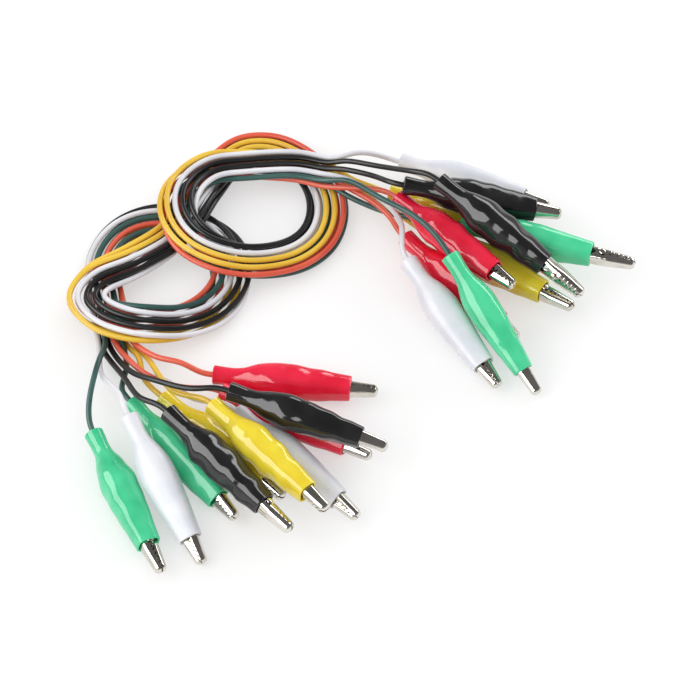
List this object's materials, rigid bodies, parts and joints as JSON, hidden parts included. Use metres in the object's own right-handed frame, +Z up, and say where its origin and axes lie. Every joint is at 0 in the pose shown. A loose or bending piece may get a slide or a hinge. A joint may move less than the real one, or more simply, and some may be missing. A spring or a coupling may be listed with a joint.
{
  "type": "alligator clip test lead set",
  "caption": "Coiled set of coloured test leads, each an insulated wire with a sprung, toothed alligator clip in a glossy vinyl boot at both ends.",
  "frame": {"origin": "middle of the space that the clips take up, seen from above, on the table that they lie on", "axes": "+Z is up, away from the table; +X runs to the right and +Y to the back of the set as it is pictured, and Z is the shortest extent"},
  "size_m": [0.1591, 0.1495, 0.026],
  "materials": {
    "vinyl_green": "glossy soft vinyl, mint green",
    "vinyl_white": "glossy soft vinyl, milky white",
    "vinyl_yellow": "glossy soft vinyl, yellow",
    "vinyl_black": "glossy soft vinyl, black",
    "vinyl_red": "glossy soft vinyl, pinkish red",
    "wire_green": "satin wire insulation, dark teal green",
    "wire_white": "satin wire insulation, white",
    "wire_yellow": "satin wire insulation, yellow",
    "wire_black": "satin wire insulation, black",
    "wire_red": "satin wire insulation, orange red",
    "nickel": "bright nickel-plated steel sheet",
    "copper": "bare copper strands",
    "spring_steel": "plain spring wire"
  },
  "bodies": {
    "leads": {"green_1_clip_a_boot": "vinyl_green", "green_1_clip_a_lower_jaw": "nickel", "green_1_clip_a_rivet": "nickel", "green_1_clip_a_spring": "spring_steel", "green_1_clip_a_conductor": "copper", "white_1_clip_a_body": "vinyl_white", "green_2_clip_a_body": "vinyl_green", "black_1_clip_a_body": "vinyl_black", "yellow_1_clip_a_body": "vinyl_yellow", "yellow_2_clip_a_body": "vinyl_yellow", "white_2_clip_a_body": "vinyl_white", "black_2_clip_a_body": "vinyl_black", "red_1_clip_a_body": "vinyl_red", "red_2_clip_a_body": "vinyl_red", "white_2_clip_b_body": "vinyl_white", "black_1_clip_b_body": "vinyl_black", "black_2_clip_b_body": "vinyl_black", "green_2_clip_b_body": "vinyl_green", "yellow_2_clip_b_body": "vinyl_yellow", "red_1_clip_b_body": "vinyl_red", "red_2_clip_b_body": "vinyl_red", "white_1_clip_b_body": "vinyl_white", "green_1_clip_b_boot": "vinyl_green", "green_1_clip_b_lower_jaw": "nickel", "green_1_clip_b_rivet": "nickel", "green_1_clip_b_spring": "spring_steel", "green_1_clip_b_conductor": "copper", "yellow_1_clip_b_body": "vinyl_yellow", "black_2_wire": "wire_black", "black_1_wire": "wire_black", "white_1_wire": "wire_white", "green_1_wire": "wire_green", "red_1_wire": "wire_red", "green_2_wire": "wire_green", "red_2_wire": "wire_red", "yellow_2_wire": "wire_yellow", "yellow_1_wire": "wire_yellow", "white_2_wire": "wire_white"},
    "green_1_clip_a_jaw": {"green_1_clip_a_upper_jaw": "nickel"},
    "white_1_clip_a_jaw": {"white_1_clip_a_upper_jaw": "nickel"},
    "green_2_clip_a_jaw": {"green_2_clip_a_upper_jaw": "nickel"},
    "black_1_clip_a_jaw": {"black_1_clip_a_upper_jaw": "nickel"},
    "yellow_1_clip_a_jaw": {"yellow_1_clip_a_upper_jaw": "nickel"},
    "yellow_2_clip_a_jaw": {"yellow_2_clip_a_upper_jaw": "nickel"},
    "white_2_clip_a_jaw": {"white_2_clip_a_upper_jaw": "nickel"},
    "black_2_clip_a_jaw": {"black_2_clip_a_upper_jaw": "nickel"},
    "red_1_clip_a_jaw": {"red_1_clip_a_upper_jaw": "nickel"},
    "red_2_clip_a_jaw": {"red_2_clip_a_upper_jaw": "nickel"},
    "white_2_clip_b_jaw": {"white_2_clip_b_upper_jaw": "nickel"},
    "black_1_clip_b_jaw": {"black_1_clip_b_upper_jaw": "nickel"},
    "black_2_clip_b_jaw": {"black_2_clip_b_upper_jaw": "nickel"},
    "green_2_clip_b_jaw": {"green_2_clip_b_upper_jaw": "nickel"},
    "yellow_2_clip_b_jaw": {"yellow_2_clip_b_upper_jaw": "nickel"},
    "red_1_clip_b_jaw": {"red_1_clip_b_upper_jaw": "nickel"},
    "red_2_clip_b_jaw": {"red_2_clip_b_upper_jaw": "nickel"},
    "white_1_clip_b_jaw": {"white_1_clip_b_upper_jaw": "nickel"},
    "green_1_clip_b_jaw": {"green_1_clip_b_upper_jaw": "nickel"},
    "yellow_1_clip_b_jaw": {"yellow_1_clip_b_upper_jaw": "nickel"}
  },
  "joints": [
    {"name": "green_1_clip_a_hinge", "type": "hinge", "parent": "leads", "child": "green_1_clip_a_jaw", "pos_m": [-0.05768, -0.0608, 0.0042], "axis": [-0.2364, -0.0654, -0.9694], "range_deg": [0, 20], "stiffness_Nm_per_rad": 0.004, "springref_deg": -34.38, "deforming": ["green_1_clip_a_spring"]},
    {"name": "white_1_clip_a_hinge", "type": "hinge", "parent": "leads", "child": "white_1_clip_a_jaw", "pos_m": [-0.04736, -0.0575, 0.00425], "axis": [-0.2559, -0.419, 0.8712], "range_deg": [0, 20], "stiffness_Nm_per_rad": 0.004, "springref_deg": -34.38},
    {"name": "green_2_clip_a_hinge", "type": "hinge", "parent": "leads", "child": "green_2_clip_a_jaw", "pos_m": [-0.04056, -0.04522, 0.00413], "axis": [-0.4495, -0.4643, 0.7631], "range_deg": [0, 20], "stiffness_Nm_per_rad": 0.004, "springref_deg": -34.38},
    {"name": "black_1_clip_a_hinge", "type": "hinge", "parent": "leads", "child": "black_1_clip_a_jaw", "pos_m": [-0.02612, -0.05409, 0.01167], "axis": [-0.3589, -0.2368, -0.9029], "range_deg": [0, 20], "stiffness_Nm_per_rad": 0.004, "springref_deg": -34.38},
    {"name": "yellow_1_clip_a_hinge", "type": "hinge", "parent": "leads", "child": "yellow_1_clip_a_jaw", "pos_m": [-0.02871, -0.03963, 0.00419], "axis": [-0.5658, -0.6562, 0.4993], "range_deg": [0, 20], "stiffness_Nm_per_rad": 0.004, "springref_deg": -34.38},
    {"name": "yellow_2_clip_a_hinge", "type": "hinge", "parent": "leads", "child": "yellow_2_clip_a_jaw", "pos_m": [-0.01666, -0.04967, 0.01418], "axis": [-0.7283, -0.6797, 0.0872], "range_deg": [0, 20], "stiffness_Nm_per_rad": 0.004, "springref_deg": -34.38},
    {"name": "white_2_clip_a_hinge", "type": "hinge", "parent": "leads", "child": "white_2_clip_a_jaw", "pos_m": [-0.00874, -0.04595, 0.00462], "axis": [-0.3769, -0.5274, 0.7614], "range_deg": [0, 20], "stiffness_Nm_per_rad": 0.004, "springref_deg": -34.38},
    {"name": "black_2_clip_a_hinge", "type": "hinge", "parent": "leads", "child": "black_2_clip_a_jaw", "pos_m": [-0.003, -0.03199, 0.01243], "axis": [-0.3431, -0.8757, -0.3398], "range_deg": [0, 20], "stiffness_Nm_per_rad": 0.004, "springref_deg": -34.38},
    {"name": "red_1_clip_a_hinge", "type": "hinge", "parent": "leads", "child": "red_1_clip_a_jaw", "pos_m": [-0.00688, -0.02891, 0.00416], "axis": [-0.36, -0.6767, -0.6422], "range_deg": [0, 20], "stiffness_Nm_per_rad": 0.004, "springref_deg": -34.38},
    {"name": "red_2_clip_a_hinge", "type": "hinge", "parent": "leads", "child": "red_2_clip_a_jaw", "pos_m": [-0.00592, -0.01121, 0.00459], "axis": [-0.0421, -0.1702, -0.9845], "range_deg": [0, 20], "stiffness_Nm_per_rad": 0.004, "springref_deg": -34.38},
    {"name": "white_2_clip_b_hinge", "type": "hinge", "parent": "leads", "child": "white_2_clip_b_jaw", "pos_m": [0.04372, 0.05389, 0.00588], "axis": [-0.3464, -0.8736, -0.3417], "range_deg": [0, 20], "stiffness_Nm_per_rad": 0.004, "springref_deg": -34.38},
    {"name": "black_1_clip_b_hinge", "type": "hinge", "parent": "leads", "child": "black_1_clip_b_jaw", "pos_m": [0.04623, 0.04504, 0.01211], "axis": [-0.1626, -0.018, -0.9865], "range_deg": [0, 20], "stiffness_Nm_per_rad": 0.004, "springref_deg": -34.38},
    {"name": "black_2_clip_b_hinge", "type": "hinge", "parent": "leads", "child": "black_2_clip_b_jaw", "pos_m": [0.05306, 0.02139, 0.01315], "axis": [-0.4375, -0.7759, 0.4545], "range_deg": [0, 20], "stiffness_Nm_per_rad": 0.004, "springref_deg": -34.38},
    {"name": "green_2_clip_b_hinge", "type": "hinge", "parent": "leads", "child": "green_2_clip_b_jaw", "pos_m": [0.06639, 0.02957, 0.00997], "axis": [0.0131, -0.0405, -0.9991], "range_deg": [0, 20], "stiffness_Nm_per_rad": 0.004, "springref_deg": -34.38},
    {"name": "yellow_2_clip_b_hinge", "type": "hinge", "parent": "leads", "child": "yellow_2_clip_b_jaw", "pos_m": [0.05019, 0.02024, 0.00575], "axis": [-0.0214, -0.0907, -0.9956], "range_deg": [0, 20], "stiffness_Nm_per_rad": 0.004, "springref_deg": -34.38},
    {"name": "red_1_clip_b_hinge", "type": "hinge", "parent": "leads", "child": "red_1_clip_b_jaw", "pos_m": [0.03449, 0.02241, 0.01455], "axis": [-0.2784, -0.2046, 0.9384], "range_deg": [0, 20], "stiffness_Nm_per_rad": 0.004, "springref_deg": -34.38},
    {"name": "red_2_clip_b_hinge", "type": "hinge", "parent": "leads", "child": "red_2_clip_b_jaw", "pos_m": [0.03589, 0.01278, 0.00411], "axis": [-0.5148, -0.5376, 0.6678], "range_deg": [0, 20], "stiffness_Nm_per_rad": 0.004, "springref_deg": -34.38},
    {"name": "white_1_clip_b_hinge", "type": "hinge", "parent": "leads", "child": "white_1_clip_b_jaw", "pos_m": [0.03159, -0.00155, 0.00413], "axis": [-0.1278, -0.2758, 0.9527], "range_deg": [0, 20], "stiffness_Nm_per_rad": 0.004, "springref_deg": -34.38},
    {"name": "green_1_clip_b_hinge", "type": "hinge", "parent": "leads", "child": "green_1_clip_b_jaw", "pos_m": [0.04248, -0.00421, 0.00565], "axis": [-0.8445, -0.4322, -0.3162], "range_deg": [0, 20], "stiffness_Nm_per_rad": 0.004, "springref_deg": -34.38, "deforming": ["green_1_clip_b_spring"]},
    {"name": "yellow_1_clip_b_hinge", "type": "hinge", "parent": "leads", "child": "yellow_1_clip_b_jaw", "pos_m": [0.04143, 0.04426, 0.00396], "axis": [-0.2924, -0.9563, 0], "range_deg": [0, 20], "stiffness_Nm_per_rad": 0.004, "springref_deg": -34.38}
  ]
}
